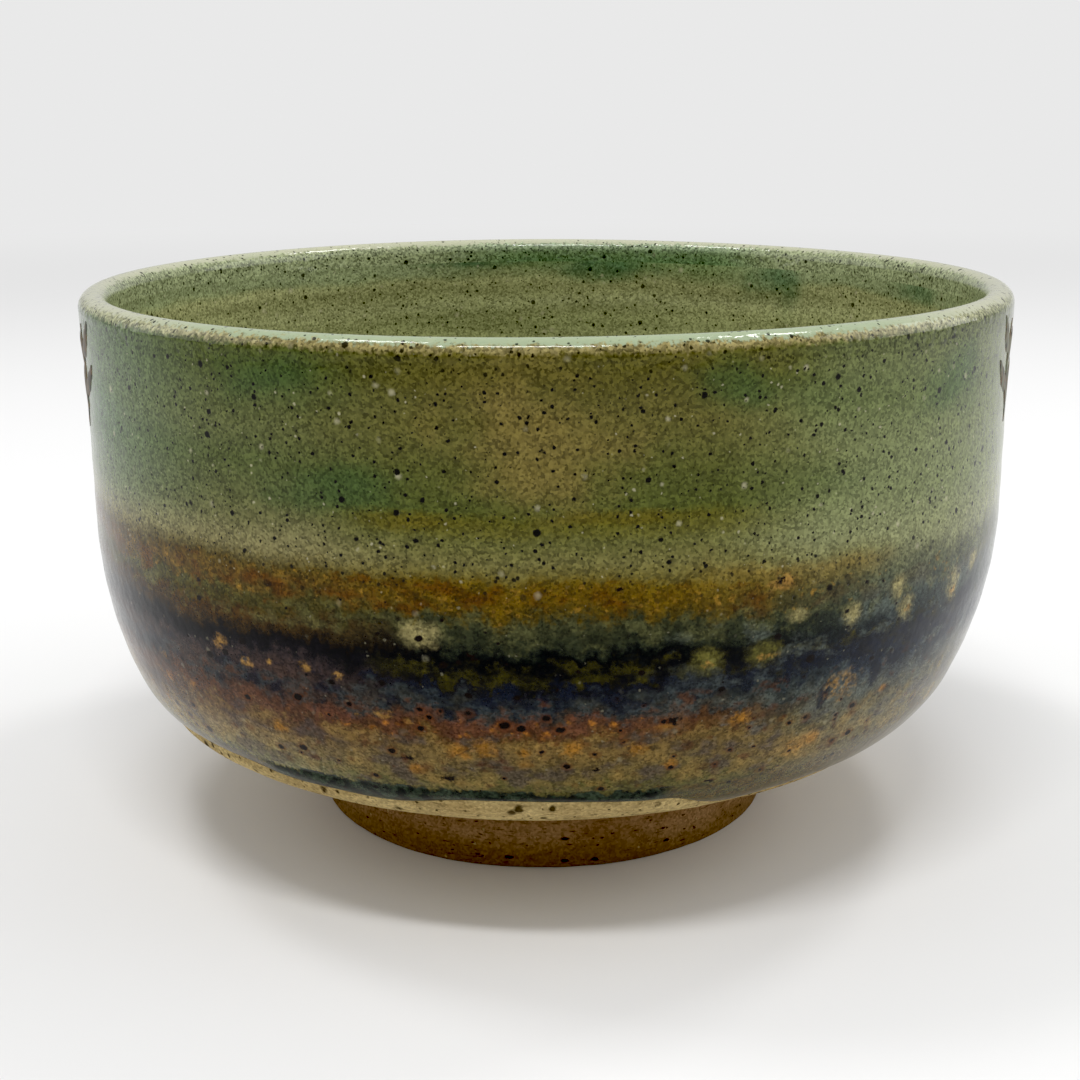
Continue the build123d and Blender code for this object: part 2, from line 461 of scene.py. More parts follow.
class Shade:
    """A material's node tree, with one short method for each kind of node the bowl needs."""

    def __init__(self, name):
        self.material = bpy.data.materials.new(name)
        self.material.use_nodes = True
        self.nodes = self.material.node_tree.nodes
        self.links = self.material.node_tree.links
        self.nodes.clear()
        metres = self.nodes.new("ShaderNodeTexCoord").outputs["Object"]
        self.place = self.vector("SCALE", metres, scale=1 / MM)
        self.x, self.y, self.z = self.split(self.place)
        # The place shaken about a little, which makes every edge drawn from it ragged
        node = self.nodes.new("ShaderNodeTexNoise")
        node.inputs["Scale"].default_value = 1
        node.inputs["Detail"].default_value = 2
        node.inputs["Roughness"].default_value = 0.7
        self.wire(self.stretched((0.55, 0.55, 0.55), (7, 3, 5)), node.inputs["Vector"])
        jolt = self.nodes.new("ShaderNodeCombineXYZ")
        for value, socket in zip(self.parts(node.outputs["Color"]), jolt.inputs):
            self.wire(value, socket)
        offset = self.vector("SUBTRACT", jolt.outputs[0], (0.5, 0.5, 0.5))
        self.ragged = self.vector("ADD", self.place, self.vector("SCALE", offset, scale=1.1))
        self.shaken = self.vector("ADD", self.place, self.vector("SCALE", offset, scale=0.4))

    def wire(self, value, socket):
        if isinstance(value, bpy.types.NodeSocket):
            self.links.new(value, socket)
        else:
            socket.default_value = value

    def math(self, operation, a, b=0, clamp=False):
        node = self.nodes.new("ShaderNodeMath")
        node.operation, node.use_clamp = operation, clamp
        self.wire(a, node.inputs[0])
        self.wire(b, node.inputs[1])
        return node.outputs[0]

    def product(self, *values):
        total = values[0]
        for value in values[1:]:
            total = self.math("MULTIPLY", total, value)
        return total

    def sum(self, *values):
        total = values[0]
        for value in values[1:]:
            total = self.math("ADD", total, value)
        return total

    def vector(self, operation, a, b=None, c=None, scale=None):
        node = self.nodes.new("ShaderNodeVectorMath")
        node.operation = operation
        self.wire(a, node.inputs[0])
        if b is not None:
            self.wire(b, node.inputs[1])
        if c is not None:
            self.wire(c, node.inputs[2])
        if scale is not None:
            self.wire(scale, node.inputs["Scale"])
        return node.outputs["Value" if operation == "LENGTH" else "Vector"]

    def split(self, vector):
        node = self.nodes.new("ShaderNodeSeparateXYZ")
        self.wire(vector, node.inputs[0])
        return node.outputs

    def parts(self, colour):
        node = self.nodes.new("ShaderNodeSeparateColor")
        self.wire(colour, node.inputs[0])
        return node.outputs

    def stretched(self, sizes, shift=(0, 0, 0), vector=None):
        """The place divided by a size along each axis, for detail of that size."""
        node = self.nodes.new("ShaderNodeMapping")
        self.wire(self.place if vector is None else vector, node.inputs["Vector"])
        node.inputs["Scale"].default_value = [1 / s for s in sizes]
        node.inputs["Location"].default_value = shift
        return node.outputs[0]

    def noise(self, sizes, seed, detail=2, rough=0.5):
        """Noise about 0, mostly within -0.3 to 0.3, with features of these sizes."""
        node = self.nodes.new("ShaderNodeTexNoise")
        self.wire(self.stretched(sizes, (seed, seed, seed)), node.inputs["Vector"])
        node.inputs["Scale"].default_value = 1
        node.inputs["Detail"].default_value = detail
        node.inputs["Roughness"].default_value = rough
        return self.math("SUBTRACT", node.outputs[0], 0.5)

    def fade(self, value, low, high, out_low=0, out_high=1):
        """A smooth step from out_low at low to out_high at high."""
        node = self.nodes.new("ShaderNodeMapRange")
        node.interpolation_type = "SMOOTHSTEP"
        self.wire(value, node.inputs["Value"])
        self.wire(low, node.inputs["From Min"])
        self.wire(high, node.inputs["From Max"])
        self.wire(out_low, node.inputs["To Min"])
        self.wire(out_high, node.inputs["To Max"])
        return node.outputs[0]

    def between(self, value, low, high, soft):
        """1 where a value is between two others, fading over this distance outside them."""
        return self.product(self.fade(value, low - soft, low), self.fade(value, high + soft, high))

    def mix(self, share, a, b, beyond=False):
        """From colour a to colour b by a share, which may pass 1 if it may go beyond."""
        node = self.nodes.new("ShaderNodeMix")
        node.data_type, node.clamp_factor = "RGBA", not beyond
        self.wire(share, node.inputs[0])
        self.wire(a, node.inputs[6])
        self.wire(b, node.inputs[7])
        return node.outputs[2]

    def lay(self, colour, paint_over, *shares):
        """A paint laid over a colour, as far as the product of these shares."""
        return self.mix(self.product(*shares), colour, paint_over)

    def tone(self, colour, value, slope, lift=1):
        """The colour made lighter or darker, by a gain of lift plus slope times a value about 0."""
        gain = self.math("MAXIMUM", self.sum(self.product(value, slope), lift), 0.15)
        return self.mix(gain, paint(0, 0, 0), colour, beyond=True)

    def ramp(self, value, stops):
        """Colours along a value: stops are (value, colour), lowest first."""
        low, high = stops[0][0], stops[-1][0]
        node = self.nodes.new("ShaderNodeValToRGB")
        scaled = self.math("DIVIDE", self.math("SUBTRACT", value, low), high - low, clamp=True)
        self.wire(scaled, node.inputs[0])
        marks = node.color_ramp.elements
        while len(marks) < len(stops):
            marks.new(0.5)
        for mark, (at, colour) in zip(marks, stops):
            mark.position = (at - low) / (high - low)
            mark.color = colour
        return node.outputs[0]

    def spots(self, spacing, least, most, share, seed, soft=0.5, halo=None, flat=1):
        """Scattered ragged spots, one in this share of the cells, with radii between two sizes.

        With a halo, a second, wider mask comes back too: so many radii across."""
        node = self.nodes.new("ShaderNodeTexVoronoi")
        sizes = (spacing, spacing, spacing * flat)
        self.wire(self.stretched(sizes, (seed, seed, seed), self.shaken), node.inputs["Vector"])
        node.inputs["Scale"].default_value = 1
        chosen, spread, _ = self.parts(node.outputs["Color"])
        size = self.sum(self.product(spread, spread, (most - least) / spacing), least / spacing)
        radius = self.product(size, self.math("GREATER_THAN", chosen, 1 - share))
        away = node.outputs["Distance"]
        spot = self.fade(away, radius, self.product(radius, 1 - soft))
        if halo is None:
            return spot
        return spot, self.fade(away, self.product(radius, halo), self.product(radius, 0.8))

    def grain(self, spacing=0.28):
        """Sandy grain about 0, mostly within -0.3 to 0.3: every grain has its own tone."""
        node = self.nodes.new("ShaderNodeTexVoronoi")
        self.wire(self.stretched((spacing, spacing, spacing)), node.inputs["Vector"])
        node.inputs["Scale"].default_value = 1
        single = self.math("SUBTRACT", self.parts(node.outputs["Color"])[0], 0.5)
        cloud = self.noise((1.5, 1.5, 1.5), 61, detail=3, rough=0.8)
        return self.sum(self.product(single, 0.50), self.product(cloud, 0.36))

    def patch(self, at, height, wide, tall, edge=0, soft=1):
        """A soft oval on the wall at a bearing and height: 1 at its middle, 0 outside."""
        angle = math.radians(at)
        radius = float(OUTSIDE.at(distance_at(OUTSIDE, height))[0])
        centre = (radius * math.sin(angle), -radius * math.cos(angle), height)
        sizes = (wide / 2, wide / 2, tall / 2)
        scale = [1 / s for s in sizes]
        middle = [-c / s for c, s in zip(centre, sizes)]
        out = self.vector("LENGTH", self.vector("MULTIPLY_ADD", self.ragged, scale, middle))
        return self.fade(self.sum(out, edge), 1, 1 - soft)

    def patches(self, places, edge=0, soft=1):
        total = self.patch(*places[0], edge, soft)
        for place in places[1:]:
            total = self.math("MAXIMUM", total, self.patch(*place, edge, soft))
        return total

    def bump(self, height, millimetres, normal=None):
        node = self.nodes.new("ShaderNodeBump")
        node.inputs["Strength"].default_value = 1
        node.inputs["Distance"].default_value = millimetres * MM
        self.wire(height, node.inputs["Height"])
        if normal is not None:
            self.wire(normal, node.inputs["Normal"])
        return node.outputs[0]

    def finish(self, colour, roughness, normal, ior):
        shader = self.nodes.new("ShaderNodeBsdfPrincipled")
        output = self.nodes.new("ShaderNodeOutputMaterial")
        self.wire(colour, shader.inputs["Base Color"])
        self.wire(roughness, shader.inputs["Roughness"])
        self.wire(normal, shader.inputs["Normal"])
        shader.inputs["IOR"].default_value = ior
        self.links.new(shader.outputs[0], output.inputs["Surface"])
        return self.material


# ---- glaze

GLAZE_IOR, LINER_IOR, CLAY_IOR = 1.36, 1.4, 1.3

def stops(*pairs):
    return [(height, paint(*colour)) for height, colour in pairs]


# What the glaze shows by height, at four places from the left of the wall to its far right
LEFT = stops(
    (20.2, (70, 68, 48)), (21.6, (108, 104, 70)), (23, (122, 109, 72)), (25.5, (110, 93, 63)),
    (28, (86, 64, 42)), (30, (76, 50, 34)), (32, (60, 44, 36)), (34.6, (60, 46, 40)),
    (36, (44, 36, 36)), (36.9, (16, 14, 18)), (38.3, (7, 5, 7)), (39.1, (40, 28, 8)),
    (41, (64, 42, 8)), (42.2, (60, 52, 16)), (43.4, (66, 62, 28)), (45.2, (86, 66, 24)),
    (46.6, (72, 60, 22)), (47.5, (98, 90, 54)), (48.6, (114, 108, 72)), (50.2, (112, 108, 72)),
    (52, (96, 96, 60)), (54, (84, 88, 52)), (58, (76, 84, 46)), (62, (86, 91, 54)),
    (66, (76, 84, 44)), (68, (70, 78, 36)), (70, (74, 82, 40)),
)
MIDDLE = stops(
    (20.2, (70, 66, 34)), (21.6, (84, 79, 42)), (23, (100, 87, 50)), (25, (94, 79, 46)),
    (27.5, (100, 81, 46)), (29, (84, 58, 28)), (30.4, (76, 50, 26)), (31.6, (50, 44, 36)),
    (33.4, (40, 42, 38)), (34.7, (20, 20, 24)), (35.3, (5, 5, 9)), (38.9, (0, 1, 2)),
    (39.4, (10, 14, 10)), (40.1, (34, 38, 24)), (42.2, (46, 48, 28)), (43.2, (70, 58, 14)),
    (45, (88, 68, 6)), (46.6, (88, 72, 12)), (47.6, (98, 90, 44)), (49, (102, 98, 56)),
    (51.4, (92, 92, 48)), (52.4, (86, 84, 36)), (53.6, (82, 80, 28)), (54.8, (72, 78, 34)),
    (58, (76, 80, 38)), (64, (88, 84, 42)), (68, (80, 76, 32)), (70, (86, 82, 36)),
)
RIGHT = stops(
    (20.2, (88, 80, 48)), (22, (110, 94, 58)), (24.5, (116, 95, 58)), (26.5, (98, 88, 56)),
    (28.8, (76, 72, 50)), (30.4, (64, 58, 44)), (32, (50, 54, 46)), (34, (34, 42, 42)),
    (35.4, (24, 32, 38)), (37, (10, 13, 20)), (38.6, (14, 18, 18)), (40.4, (28, 34, 24)),
    (42.6, (40, 46, 32)), (44.6, (54, 56, 34)), (46.4, (88, 76, 30)), (48, (112, 92, 36)),
    (49.4, (104, 100, 56)), (51, (114, 116, 78)), (54, (108, 114, 74)), (57, (90, 100, 62)),
    (61, (98, 102, 62)), (64, (94, 100, 60)), (66.5, (82, 92, 52)), (68.4, (72, 80, 36)),
    (70, (84, 88, 44)),
)
FAR_RIGHT = stops(
    (20.2, (96, 90, 66)), (24, (104, 96, 66)), (27.5, (94, 90, 68)), (30.5, (72, 74, 66)),
    (33, (34, 42, 54)), (35.5, (18, 24, 40)), (38, (28, 36, 40)), (40.5, (50, 58, 54)),
    (43.5, (60, 68, 58)), (46, (70, 75, 56)), (48, (90, 92, 64)), (50, (116, 119, 84)),
    (56, (104, 111, 74)), (62, (100, 107, 70)), (66, (88, 97, 58)), (70, (90, 97, 60)),
)

# What it shows by height inside the bowl, on the wall and on the lip
LINER = stops(
    (8, (84, 102, 62)), (14, (112, 126, 78)), (24, (134, 138, 94)),
    (40, (144, 147, 104)), (58, (145, 148, 108)), (65, (144, 145, 106)),
    (67, (126, 134, 96)), (68.4, (110, 124, 86)), (70, (110, 126, 90)),
)
LIP_INSIDE = stops(
    (68.6, (98, 120, 84)), (70.2, (110, 128, 92)), (71, (146, 160, 130)), (71.6, (158, 172, 142)),
)

# What lies over those bands
TAN = paint(112, 98, 52)
GREEN = paint(50, 74, 38)
TEAL = paint(50, 88, 64)
OLIVE = paint(92, 78, 18)
CREAM = paint(190, 184, 154)
IRON = paint(16, 15, 12)
RUST = paint(90, 54, 42)
GOLD = paint(168, 108, 36)
OCHRE = paint(142, 98, 34)
BONE = paint(144, 134, 88)
SEA = paint(98, 124, 96)
BURNT = paint(78, 42, 2)
HONEY = paint(150, 112, 40)
SAGE = paint(84, 84, 50)
MAUVE = paint(62, 56, 58)
SAND = paint(138, 112, 60)
STAIN = paint(70, 42, 24)
MOSS = paint(92, 88, 40)
CRYSTAL = paint(146, 110, 54)
SCORCH = paint(16, 6, 3)
CLOUD = paint(72, 78, 72)
EMBER = paint(92, 48, 18)
PIT = paint(14, 7, 5)
NAVY = paint(12, 17, 30)
SLATE = paint(54, 62, 62)
BLACK_OLIVE = paint(50, 46, 8)

# Where each kind of blot lies on the wall, as (bearing, height, wide, tall)
GREEN_POOLS = [
    (-21, 55.5, 26, 9), (-28, 67, 24, 8), (19, 66.5, 14, 8), (50, 64, 20, 12),
    (-62, 60, 24, 12), (120, 60, 40, 14), (170, 57, 30, 12), (-125, 63, 34, 12),
]
OLIVE_STREAKS = [
    (-14, 53.2, 20, 3.2), (7, 53.6, 20, 2.4), (130, 53, 50, 3), (-120, 53, 40, 3),
]
MOSSY = [
    (16.3, 37.2, 5.4, 4.4), (22.6, 37.4, 6, 4), (120, 37, 7, 4),
]
FROSTED = [
    (-12.8, 40.8, 6.6, 4.2), (33.8, 40, 4.2, 4), (40.5, 41.8, 3.8, 4.6),
    (42.2, 39.2, 4.2, 4.4), (52, 39.6, 4.4, 5.6), (57, 41.2, 3.6, 3.6), (26.5, 41.2, 4, 2.4),
    (150, 39, 5, 4), (-140, 41, 6, 4),
]
OCHRE_BLOBS = [
    (-6.8, 27.2, 3.4, 3.6), (2.7, 27.4, 3.6, 3.4), (-2.4, 26.8, 2.4, 2),
    (9.6, 27, 3.4, 2.2), (21, 29.6, 3.2, 2.6), (13.6, 24.6, 2.6, 2), (-15, 24, 2.4, 2.2),
    (-31, 27, 3, 2.4),
]
NAVY_RUNS = [
    (26.2, 34.5, 1.8, 8), (21.2, 34, 2.4, 5), (39, 31, 2.4, 8),
    (31.6, 29.5, 2.4, 7), (-4, 34.4, 3.4, 3), (29, 35.6, 7, 3), (36, 35.8, 9, 3.4),
    (46, 35.4, 9, 4.4), (56, 37, 8, 4), (42, 33.2, 5, 3), (2, 34.6, 3, 3),
    (100, 33, 3, 8), (165, 33, 3, 7), (-110, 33, 3, 8), (-170, 33, 2, 8),
]
CRYSTALS = [
    (-37.1, 36.4, 3, 2.6), (-26, 35.6, 2, 1.6), (-49.3, 32, 2, 1.8),
    (16.3, 36.8, 2, 1.2), (-22, 35, 1.8, 1.4), (-30.5, 35.3, 1.4, 1),
    (-33.8, 34.6, 2.2, 1.6), (-17.5, 30.9, 3.2, 1.5), (-14.6, 30.2, 2, 1.5),
    (-20.5, 30.4, 1.5, 1.1), (23, 36.9, 3.4, 1.4), (33.8, 31.2, 6.4, 4.6),
    (29.6, 24, 4.6, 3.4), (24.4, 45.2, 6, 2.6), (42.6, 38.8, 1.8, 1.2),
    (52, 38.8, 2.2, 1.4), (110, 35, 3.6, 3), (-100, 34, 3, 2.6),
]
KNOTS = [
    (24.2, 45.4, 1.5, 1), (-11.4, 22.9, 2.4, 1.6), (13.3, 30.4, 2, 1.2),
    (26.9, 20.9, 1.6, 1.1), (7, 46.1, 1.2, 0.9), (-15.5, 25.2, 1.8, 1.2),
    (5.2, 24.4, 1.2, 0.9), (-7.6, 38.6, 1.6, 1.1),
]
TEAL_POOLS = [        # inside
    (170, 67, 22, 8), (139, 65.5, 17, 17), (109, 67.5, 18, 7), (-101, 66.5, 9, 9),
    (-166, 68.5, 26, 4), (170, 30, 40, 16), (-60, 36, 36, 14), (40, 50, 30, 12),
]


def speckle(g, colour, iron=1, cream=1):
    """The stoneware's iron and feldspar specks, seen through the glaze."""
    pale = g.spots(2.1, 0.14, 0.62, 0.55, 37, soft=0.9)
    colour = g.lay(colour, CREAM, pale, 0.55 * cream)
    chips = g.spots(1, 0.09, 0.24, 0.36, 57, soft=0.6)
    colour = g.lay(colour, CREAM, chips, 0.55 * cream)
    dust = g.spots(0.55, 0.07, 0.14, 0.4, 3)
    pepper = g.spots(0.82, 0.13, 0.29, 0.64, 11, soft=0.35)
    dots = g.spots(2.1, 0.24, 0.50, 0.66, 23, soft=0.3)
    colour = g.lay(colour, IRON, dust, 0.6 * iron)
    return g.lay(colour, IRON, g.math("MAXIMUM", pepper, dots), iron)


def wall_colour(g):
    """The bands on the outside, from the lip's edge to the glaze's lower edge."""
    rough_x, _, rough_z = g.split(g.ragged)
    slow = g.noise((24, 24, 9), 1, detail=1)
    drips = g.noise((2.8, 2.8, 12), 5, detail=3, rough=0.6)
    tatters = g.noise((1.5, 1.5, 1.2), 9, detail=3, rough=0.65)
    sag = g.product(g.fade(g.x, 8, 52, 0, 3.2), g.fade(g.z, 35, 43))
    below = g.fade(g.z, 48.5, 42)
    torn = g.sum(rough_z, g.product(drips, 6), g.product(tatters, 5))
    share = g.fade(below, 0, 1, 0.25, 0.85)
    edges = (g.product(torn, share), g.product(rough_z, g.math("SUBTRACT", 1, share)))
    level = g.sum(*edges, sag, g.product(slow, 2.4))
    sideways = g.sum(rough_x, g.product(slow, 20))
    colour = g.ramp(level, MIDDLE)
    colour = g.mix(g.fade(sideways, -10, -32), colour, g.ramp(level, LEFT))
    colour = g.mix(g.fade(sideways, 14, 34), colour, g.ramp(level, RIGHT))
    colour = g.mix(g.fade(sideways, 25, 38), colour, g.ramp(level, FAR_RIGHT))
    return colour, level, torn, tatters


def upper_pools(g, colour, blur):
    """Where the celadon pooled thick and green, or drained thin and tan."""
    tan = g.patch(-1, 61, 26, 24, blur, 1)
    colour = g.lay(colour, TAN, tan, 0.75)
    colour = g.lay(colour, GREEN, g.patches(GREEN_POOLS, blur), 0.6)
    colour = g.lay(colour, OLIVE, g.patches(OLIVE_STREAKS, blur, 0.8), 0.42)
    # A paler sea green on the wall's left side: partly the glaze's own colour, partly painted sheen
    # from the bright surroundings.
    side = g.product(g.fade(g.x, -34, -54), g.fade(g.z, 47, 52), 0.4)
    return g.lay(colour, SEA, side)


def amber_mottle(g, colour, level):
    """Brown and honey in the lapped band."""
    other = g.noise((4.6, 4.6, 2.6), 87, detail=4, rough=0.58)
    brown = (
        g.between(level, 43.8, 46.2, 1), g.fade(other, -0.06, 0.14), g.fade(g.x, 34, 18, 0.25, 1)
    )
    colour = g.lay(colour, BURNT, g.product(*brown), 0.7)
    fine = g.noise((0.9, 0.9, 0.9), 93, detail=2, rough=0.6)
    shine = (g.between(level, 43.6, 46.2, 0.8), g.fade(fine, 0.04, 0.2), g.fade(other, 0.04, -0.08))
    return g.lay(colour, HONEY, g.product(*shine), 0.45), other, fine


def lower_mottle(g, colour, torn, other, fine):
    """Slate, olive, navy, ochre and rust that parted out of the second dip."""
    blotch = g.noise((2.8, 2.8, 1.9), 81, detail=4, rough=0.6)
    pale = g.product(g.between(torn, 40.8, 42.6, 1.2), g.fade(blotch, -0.06, 0.14))
    colour = g.lay(colour, SAGE, pale, 0.5)

    middle = g.between(torn, 35.7, 37.2, 1)
    olive = g.product(middle, g.fade(blotch, -0.12, 0.12), g.fade(g.x, -24, -10))
    colour = g.lay(colour, BLACK_OLIVE, olive, g.fade(fine, -0.2, 0.2, 0.5, 1))
    right = g.fade(g.x, 6, 26)
    reach = g.sum(torn, g.product(right, -1.6))
    blue = g.product(g.between(reach, 32.4, 34.4, 1.2), g.fade(other, -0.1, 0.08))
    colour = g.lay(colour, NAVY, blue, 0.85)
    slate = g.product(g.between(torn, 31.2, 33.6, 0.9), g.fade(blotch, -0.08, 0.10))
    colour = g.lay(colour, SLATE, slate, 0.5)

    reach = g.product(g.fade(g.x, -40, -22), g.fade(g.x, 20, 4))
    rust = g.product(g.between(torn, 29.6, 30.7, 1.2), g.fade(other, -0.16, 0.10), reach)
    colour = g.lay(colour, RUST, rust, 0.5)
    flecks = g.spots(1.5, 0.4, 0.9, 0.8, 71, soft=1, flat=0.8)
    gold = g.product(g.between(torn, 29.3, 30.2, 0.7), flecks, g.fade(blotch, -0.12, 0.02), reach)
    colour = g.lay(colour, GOLD, gold, 0.8)

    khaki = g.between(torn, 22.4, 28.2, 1.2)
    colour = g.lay(colour, MAUVE, khaki, g.fade(other, 0, 0.14), 0.6)
    colour = g.lay(colour, SAND, khaki, g.fade(other, 0.02, -0.16), 0.45)
    stain = g.product(g.between(g.z, 22.5, 33.5, 1), g.fade(blotch, 0.05, 0.20))
    colour = g.lay(colour, STAIN, stain, 0.75)
    blobs = g.spots(4.4, 1, 2.3, 0.55, 67, soft=0.9, flat=0.8)
    return g.lay(colour, OCHRE, g.between(g.z, 23.5, 29.5, 0.8), blobs, 0.75)


def blots(g, colour, tatters, fine):
    """Frosted blobs with golden crystals in them, and runs, each in its own place."""
    edge = g.product(tatters, 1.6)
    soft_edge = g.product(tatters, 0.8)
    colour = g.lay(colour, MOSS, g.patches(MOSSY, soft_edge, 0.8), g.fade(fine, -0.2, 0.2, 0.5, 1))
    frost = g.patches(FROSTED, soft_edge, 0.9)
    colour = g.lay(colour, BONE, frost, g.fade(fine, -0.3, 0.15, 0.45, 0.92))
    colour = g.lay(colour, OCHRE, g.patches(OCHRE_BLOBS, edge, 0.8), 0.85)
    colour = g.lay(colour, NAVY, g.patches(NAVY_RUNS, edge, 0.5), 0.85)
    gold = g.product(g.patches(CRYSTALS, edge, 0.8), g.fade(fine, -0.16, 0.08))
    colour = g.lay(colour, CRYSTAL, gold, 0.8)
    return g.lay(colour, SCORCH, g.patches(KNOTS, edge, 0.4))


def glaze_surface(g):
    """The glaze's own skin: a faint orange peel, with pinholes."""
    peel = g.noise((1.8, 1.8, 1.8), 101, detail=2, rough=0.45)
    hole = g.spots(3.4, 0.10, 0.30, 0.4, 107)
    return g.bump(g.product(hole, -1), 0.08, g.bump(peel, 0.06)), hole


def base_glaze(g):
    """The wall's bands and pools, without its specks: what all the outside coats share."""
    colour, level, torn, tatters = wall_colour(g)
    blur = g.product(g.noise((7, 7, 5), 41, detail=2), 1.4)
    return upper_pools(g, colour, blur), level, torn, tatters


def wall_material(name, second_dip):
    """The outside wall's glaze, with or without what only the second dip brought."""
    g = Shade(name)
    colour, level, torn, tatters = base_glaze(g)
    colour, other, fine = amber_mottle(g, colour, level)
    if second_dip:
        colour = lower_mottle(g, colour, torn, other, fine)
        right = g.product(g.fade(g.x, 6, 24, 0, 2.6), g.between(g.z, 29, 40, 3))
        colour = g.tone(colour, other, right)
        colour = g.lay(colour, CLOUD, g.fade(other, 0, 0.14), right, 0.22)
        colour = blots(g, colour, tatters, fine)
    grain = g.grain()
    mid = g.noise((1.7, 1.7, 1.3), 77, detail=4, rough=0.65)
    slope = g.product(g.fade(g.z, 44, 50, 1.7, 0.5), g.fade(g.z, 22, 31, 0.55, 1))
    colour = g.tone(colour, mid, slope)
    # Lighter towards the right side of the upper wall: painted light and sheen from the right-hand
    # lamp and the pale surroundings.
    lift = g.sum(1.08, g.product(g.fade(g.x, 5, 45, 0, 0.15), g.fade(g.z, 38, 48)))
    colour = g.tone(colour, grain, g.fade(g.z, 30, 47, 1.8, 2), lift)
    speckled = speckle(g, colour)
    colour = g.mix(g.fade(g.z, 43, 48.5, 0.35, 1), colour, speckled)
    if second_dip:
        pits, halo = g.spots(2.1, 0.24, 0.78, 0.6, 131, soft=0.4, halo=1.9, flat=0.8)
        colour = g.lay(colour, EMBER, halo, g.fade(g.z, 34, 31), 0.45)
        colour = g.lay(colour, PIT, pits, g.fade(g.z, 46.5, 43.5))
    normal, hole = glaze_surface(g)
    colour = g.lay(colour, IRON, hole, 0.6)
    rough = g.fade(grain, -0.2, 0.2, 0.12, 0.2)
    return g.finish(colour, rough, normal, ior=GLAZE_IOR)


def drained_sides(g):
    """1 where the glaze inside ran thin below the lip, at both sides, and 0 in the middle."""
    return g.math("MAXIMUM", g.fade(g.x, 26, 40), g.fade(g.x, -2, -24))


def lip_material():
    """Pale and thick on the lip's crest, breaking tan on its shoulder, then the wall's glaze."""
    g = Shade("lip_celadon")
    _, _, rough_z = g.split(g.ragged)
    streaks = g.noise((0.7, 0.7, 2), 13, detail=3, rough=0.65)
    spread = g.vector("LENGTH", g.vector("MULTIPLY", g.place, (1, 1, 0)))
    inner = g.fade(g.math("SUBTRACT", spread, RIM_RADIUS - LIP_RADIUS), 0.2, -0.8)
    colour, _, _, _ = base_glaze(g)
    crest = g.sum(rough_z, g.product(streaks, 1.4))
    sideways = g.math("ABSOLUTE", g.x)
    # Paler towards the lip's two ends: partly the glaze, partly painted sheen from the side lamps.
    tan = g.mix(g.fade(sideways, 22, 54), paint(136, 126, 84), paint(150, 152, 120))
    colour = g.lay(colour, tan, g.fade(crest, 70.15, 70.95))
    inside = g.ramp(rough_z, LIP_INSIDE)
    inside = g.mix(g.product(drained_sides(g), 0.85), inside, paint(150, 156, 122))
    colour = g.lay(colour, inside, inner)
    colour = g.tone(colour, g.grain(), 2.2)
    # Creamier on the far side and at both ends of the crest: partly the glaze, partly painted sheen
    # where the lip is seen at a slant.
    creamy_and_sheen = g.math("MAXIMUM", g.fade(g.y, 10, 45), g.fade(sideways, 30, 52))
    pale = g.mix(creamy_and_sheen, paint(160, 174, 144), paint(184, 185, 160))
    colour = g.lay(colour, pale, g.fade(crest, 71.1, 71.45, 0, 0.92))
    colour = speckle(g, colour, iron=0.9, cream=0.5)
    normal, _ = glaze_surface(g)
    wave = g.noise((1.3, 1.3, 1.3), 15, detail=1)
    wavy = g.product(wave, g.fade(g.noise((7, 7, 7), 16), -0.02, 0.06))
    return g.finish(colour, 0.10, g.bump(wavy, 0.14, normal), ior=GLAZE_IOR)


def liner_material():
    """Celadon inside: drained tan below the lip, with pools of teal."""
    g = Shade("liner_celadon")
    _, _, rough_z = g.split(g.ragged)
    slow = g.noise((20, 20, 7), 3, detail=2)
    rings = g.noise((30, 30, 1.8), 17, detail=2)
    level = g.sum(rough_z, g.product(slow, 6))
    colour = g.ramp(level, LINER)
    edge = g.product(g.noise((6, 6, 6), 43, detail=2), 1.2)
    colour = g.lay(colour, paint(133, 141, 107), drained_sides(g), g.fade(level, 65, 67))
    colour = g.lay(colour, TEAL, g.patches(TEAL_POOLS, edge, 0.8), 0.68)
    colour = g.tone(colour, rings, 0.8)
    colour = g.tone(colour, g.grain(), 1.7, 1.06)
    colour = speckle(g, colour, iron=0.85, cream=1)
    normal, _ = glaze_surface(g)
    return g.finish(colour, 0.16, normal, ior=LINER_IOR)


def edge_material():
    """The glaze's lower edge: a dark teal roll where it swells, khaki where it is thin."""
    g = Shade("teal_roll")
    _, _, rough_z = g.split(g.ragged)
    khaki, _, _, _ = base_glaze(g)
    scallop = g.noise((2, 2, 4), 19, detail=2)
    front = g.product(g.between(g.x, -31, 12, 3), g.fade(g.y, -5, -15))
    back = g.product(g.between(g.math("ABSOLUTE", g.x), 14, 34, 4), g.fade(g.y, 12, 22))
    swollen = g.math("MAXIMUM", front, back)
    mottle = g.fade(g.noise((1.3, 1.3, 1), 23, detail=3), -0.14, 0.14)
    dark = g.mix(mottle, paint(9, 13, 11), paint(48, 58, 44))
    thin = g.mix(g.product(mottle, 0.5), khaki, paint(80, 54, 18))
    under = g.fade(g.sum(rough_z, g.product(scallop, 2.2)), 21.3, 20.9)
    colour = g.mix(g.product(swollen, under), g.mix(under, khaki, thin), dark)
    colour = g.tone(colour, g.grain(), 1.9)
    colour = g.lay(colour, PIT, g.spots(1.9, 0.20, 0.62, 0.55, 131, soft=0.4, flat=0.8))
    normal, _ = glaze_surface(g)
    return g.finish(colour, 0.14, normal, ior=GLAZE_IOR)


